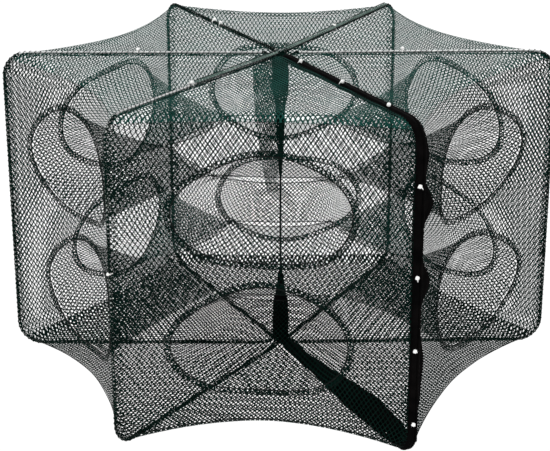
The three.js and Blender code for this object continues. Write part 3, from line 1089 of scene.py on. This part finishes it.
def add_curtain(page):
    """The gathered net that hangs beside the spine from the top."""
    rows, uvs, gather = [], [], []
    for i in range(50):
        down = i / 49
        z = blend(CURTAIN_TOP, CURTAIN_END, down)
        wide = CURTAIN_WIDE * (1 - 0.6 * down**2)
        row = []
        for k in range(25):
            reach = 0.004 + wide * k / 24
            pleat = 0.0022 * math.sin(k * 1.7 + 0.6 * math.sin(i * 0.2)) * (1 - 0.3 * down)
            row.append(page.at(reach, z - 0.006 * (k / 24) ** 2, pleat))
        rows.append(row)
        uvs.append([(k / 24 * 0.070, z) for k in range(25)])
        gather += [blend(1.0, 0.55, down)] * 25
    shape = Shape()
    shape.grid(rows, uvs, gather=gather)
    curtain = shape.build("spine_gather", materials["gathered_green"])
    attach(curtain, page.body)


BAND_SIDES = (-0.0062, -0.0035, 0, 0.0035, 0.0062)
BAND_DROPS = (0.0030, 0.0006, 0, 0.0006, 0.0030)
BAND_START = 0.012
SHORT_BAND = 0.23  # where the band ends on a page whose top wire shows


def add_top_band(page):
    """The flat doubled band over a page's top wire, with its three rows of stitching."""
    end = SHORT_BAND if page.number in BARE_TOPS else REACH - CORNER - 0.004
    reaches = [blend(BAND_START, end, i / 110) for i in range(111)]

    def along(side, height):
        return [page.at(reach, height, side) for reach in reaches]

    profile = list(zip(BAND_SIDES, BAND_DROPS))
    rows = [along(side, HEIGHT + 0.0032 - drop) for side, drop in profile]
    shape = Shape()
    shape.grid(rows, [[(reach, side) for reach in reaches] for side in BAND_SIDES], gather=0.9)
    band = shape.build(f"top_band_{page.number}", materials["pale_band"])
    cords = Shape()
    for side, drop in profile[::2]:
        cords.tube(along(side, HEIGHT + 0.0038 - drop), 0.0005, sides=5)
    stitches = cords.build(f"top_band_stitching_{page.number}", materials["cord"])
    for piece in (band, stitches):
        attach(piece, page.body)


# ---------------------------------------------------------------- the whole trap

KNOTS = {
    2: (("top", 0.191),),
    3: (("top", 0.189),),
    4: (("top", 0.240), ("top", 0.214)),
    5: (("top", 0.223),),
    6: (("top", 0.235), ("out", 0.274)),
    7: (
        ("top", 0.082),
        ("top", 0.215),
        ("top", 0.351),
        ("out", 0.413),
        ("out", 0.281),
        ("out", 0.171),
        ("out", 0.057),
        ("low", 0.121),
        ("low", 0.368),
    ),
}
WHITE_TIES = {"upper": (2, 5), "lower": (6,)}  # pages whose throats are tied with white thread


def net_tone(sector):
    """The far sectors' nets take a paler, greener copy of the net colour: painted light, for how
    much lighter they look behind the near ones.
    """
    return materials["net_painted_lit" if sector.number in (2, 3, 4) else "net"]


add_camera()
add_stage()

BLACK_GREEN = ((0.0006, 0.0044, 0.0032), (0.0018, 0.0115, 0.0086))
# Painted light: a paler, greener copy of the net colour, for the far sectors' nets and the top
# nets, which look lighter where light falls on them.
PAINTED_LIT_GREEN = ((0.0030, 0.0240, 0.0190), (0.0080, 0.0560, 0.0450))
BUNCHED_GREEN = ((0.004, 0.022, 0.016), (0.011, 0.050, 0.038))
PALE_GREEN = ((0.05, 0.085, 0.072), (0.14, 0.19, 0.17))

materials = {
    "net": net_material("net_black", *BLACK_GREEN, TWINE * 0.72),
    "net_painted_lit": net_material("net_black_painted_lit", *PAINTED_LIT_GREEN, TWINE * 0.74),
    # The top nets take the paler copy too: painted light on the top.
    "top": net_material("net_top_painted_lit", *PAINTED_LIT_GREEN, TWINE * 0.95),
    "bottom": net_material("net_bottom", *BLACK_GREEN, TWINE * 1.42),
    "margin": net_material("net_margin", *BLACK_GREEN, TWINE * 0.4),
    "hem": net_material("net_hem", *BLACK_GREEN, TWINE * 0.6, 2),
    "binding": net_material("net_binding", *BLACK_GREEN, TWINE, 2),
    "gathered": net_material("net_gathered", *BLACK_GREEN, TWINE, 2),
    "gathered_green": net_material("net_gathered_green", *BUNCHED_GREEN, TWINE, 2),
    "pale_band": net_material("net_band", *PALE_GREEN, TWINE, 2),
    "cord": cord_material("black_cord", (0.0015, 0.0022, 0.0020), (0.006, 0.009, 0.008)),
    "thread": cord_material("white_thread", (0.82, 0.82, 0.80), (0.95, 0.95, 0.94)),
    "tape": tape_material("closure_tape_black"),
    "steel": steel_material("galvanised_wire"),
}

pages = [Page(i) for i in range(7)]
sectors = [Sector(i) for i in range(6)]

for page in pages:
    wire = frame["nodes"][f"page_frame_{page.number}"]
    for slot in wire.material_slots:
        slot.material = materials["steel"]
    if page.number in KNOTS:
        add_knots(page, KNOTS[page.number])
for page in pages[1:-1]:
    add_binding(page)
    for level in ("upper", "lower"):
        add_tie(page, level, page.number in WHITE_TIES[level])
add_tape(pages[0], sectors[0], 1)
add_tape(pages[6], sectors[5], -1)
for page in (pages[2], pages[5]):
    add_top_band(page)
add_curtain(pages[4])
for sector in sectors:
    fold(add_wall(sector), sector)
    for is_top in (True, False):
        fold(add_cover(sector, is_top), sector)
    for level in ("upper", "lower"):
        add_funnel(sector, level)
        add_hem(sector, level)
    add_margins(sector)
    add_spine(sector)
